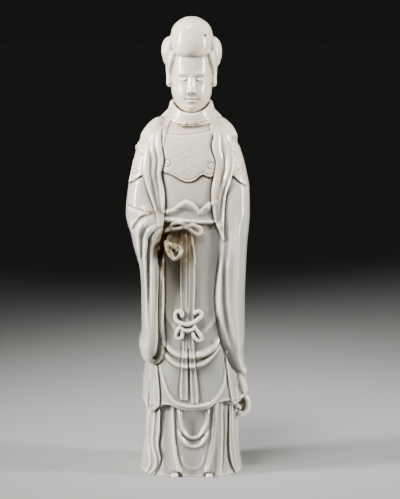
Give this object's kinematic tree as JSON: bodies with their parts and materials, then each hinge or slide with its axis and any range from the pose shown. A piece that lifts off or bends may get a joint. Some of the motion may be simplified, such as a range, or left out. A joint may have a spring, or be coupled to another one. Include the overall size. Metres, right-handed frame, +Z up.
{
  "type": "porcelain guanyin figure",
  "caption": "Tall standing robed figure in glossy white porcelain, with a high topknot, one hand in a loose fist and the other hidden in a long sleeve.",
  "frame": {"origin": "on the flat underside, under the middle of the bounding box", "axes": "+Z up along the figure's height; the figure faces -Y; its right hand, a loose fist, is on the -X side"},
  "size_m": [0.124, 0.0912, 0.45],
  "materials": {
    "glaze": "gloss"
  },
  "bodies": {
    "root": {"figure": "glaze"}
  },
  "joints": []
}
